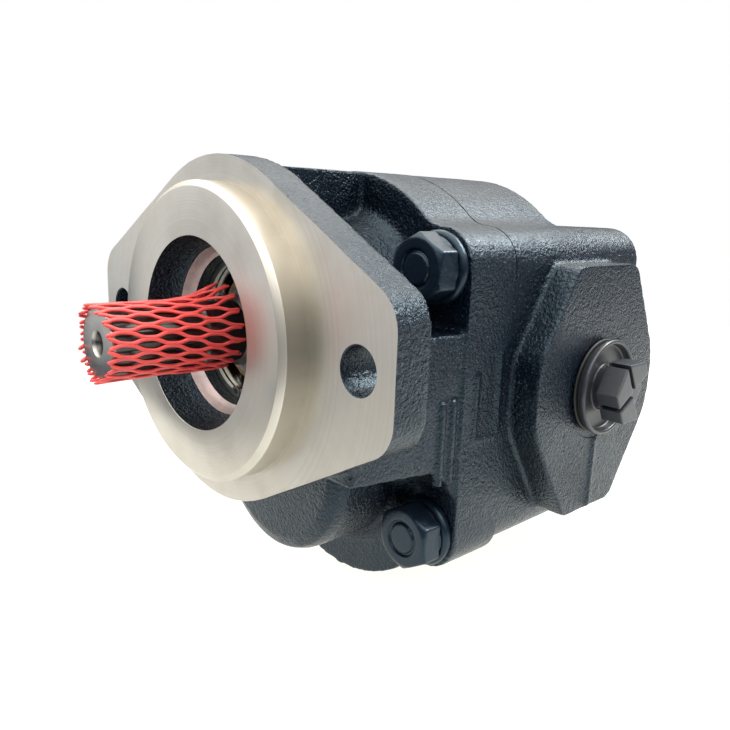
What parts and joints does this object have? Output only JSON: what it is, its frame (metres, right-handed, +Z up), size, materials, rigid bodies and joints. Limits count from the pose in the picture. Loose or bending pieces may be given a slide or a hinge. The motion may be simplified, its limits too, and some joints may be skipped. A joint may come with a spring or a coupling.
{
  "type": "hydraulic gear pump",
  "caption": "External gear pump with a two-bolt pilot flange, splined drive shaft, side ports and a closed-end cast housing, for driving a hydraulic circuit.",
  "frame": {"origin": "where the drive shaft's axis meets the mounting face of the flange", "axes": "-Y along the drive shaft towards its free end, +X towards the right port, +Z up, from the driven shaft to the drive shaft"},
  "size_m": [0.1776, 0.221, 0.166],
  "materials": {
    "cast_paint": "gloss black paint over a sand-cast surface",
    "bolt_paint": "gloss black paint",
    "steel": "turned and ground",
    "bearing_steel": "polished",
    "bronze": "machined",
    "aluminium": "machined",
    "black_rubber": "matt",
    "plug_plastic": "satin moulded plastic",
    "red_net": "extruded net"
  },
  "bodies": {
    "housing": {"front_cover": "cast_paint", "gear_housing": "cast_paint", "front_wear_plate": "bronze", "rear_wear_plate": "bronze", "drive_front_bushing": "aluminium", "drive_rear_bushing": "aluminium", "driven_front_bushing": "aluminium", "driven_rear_bushing": "aluminium", "drive_preload_seal": "black_rubber", "driven_preload_seal": "black_rubber", "body_seal_ring": "black_rubber", "shaft_seal": "black_rubber", "bearing_outer_ring": "bearing_steel", "bearing_retaining_ring": "steel", "dowel_pin_left": "steel", "dowel_pin_right": "steel", "cover_bolt_upper_left": "bolt_paint", "bolt_washer_upper_left": "bolt_paint", "cover_bolt_upper_right": "bolt_paint", "bolt_washer_upper_right": "bolt_paint", "cover_bolt_lower_left": "bolt_paint", "bolt_washer_lower_left": "bolt_paint", "cover_bolt_lower_right": "bolt_paint", "bolt_washer_lower_right": "bolt_paint"},
    "drive_shaft": {"drive_gear_shaft": "steel", "bearing_inner_ring": "bearing_steel"},
    "driven_shaft": {"driven_gear_shaft": "steel"},
    "ball_cage": {"bearing_cage": "bronze", "bearing_ball_1": "bearing_steel", "bearing_ball_2": "bearing_steel", "bearing_ball_3": "bearing_steel", "bearing_ball_4": "bearing_steel", "bearing_ball_5": "bearing_steel", "bearing_ball_6": "bearing_steel", "bearing_ball_7": "bearing_steel", "bearing_ball_8": "bearing_steel", "bearing_ball_9": "bearing_steel"},
    "net_sleeve": {"shaft_net_sleeve": "red_net"},
    "plug_left": {"port_plug_left": "plug_plastic", "plug_seal_washer_left": "black_rubber"},
    "plug_right": {"port_plug_right": "plug_plastic", "plug_seal_washer_right": "black_rubber"}
  },
  "joints": [
    {"name": "drive_spin", "type": "hinge", "parent": "housing", "child": "drive_shaft", "pos_m": [0, 0, 0], "axis": [0, 1, 0], "continuous": true},
    {"name": "driven_spin", "type": "hinge", "parent": "housing", "child": "driven_shaft", "pos_m": [0, 0, -0.049], "axis": [0, 1, 0], "continuous": true},
    {"name": "cage_spin", "type": "hinge", "parent": "housing", "child": "ball_cage", "pos_m": [0, 0, 0], "axis": [0, 1, 0], "continuous": true},
    {"name": "net_pull", "type": "slide", "parent": "drive_shaft", "child": "net_sleeve", "axis": [0, -1, 0], "range_m": [0, 0.055]},
    {"name": "plug_left_out", "type": "slide", "parent": "housing", "child": "plug_left", "axis": [-1, 0, 0], "range_m": [0, 0.03]},
    {"name": "plug_right_out", "type": "slide", "parent": "housing", "child": "plug_right", "axis": [1, 0, 0], "range_m": [0, 0.03]}
  ],
  "couplings": [
    {"joint": "driven_spin", "follows": "drive_spin", "ratio": -1},
    {"joint": "cage_spin", "follows": "drive_spin", "ratio": 0.4}
  ]
}
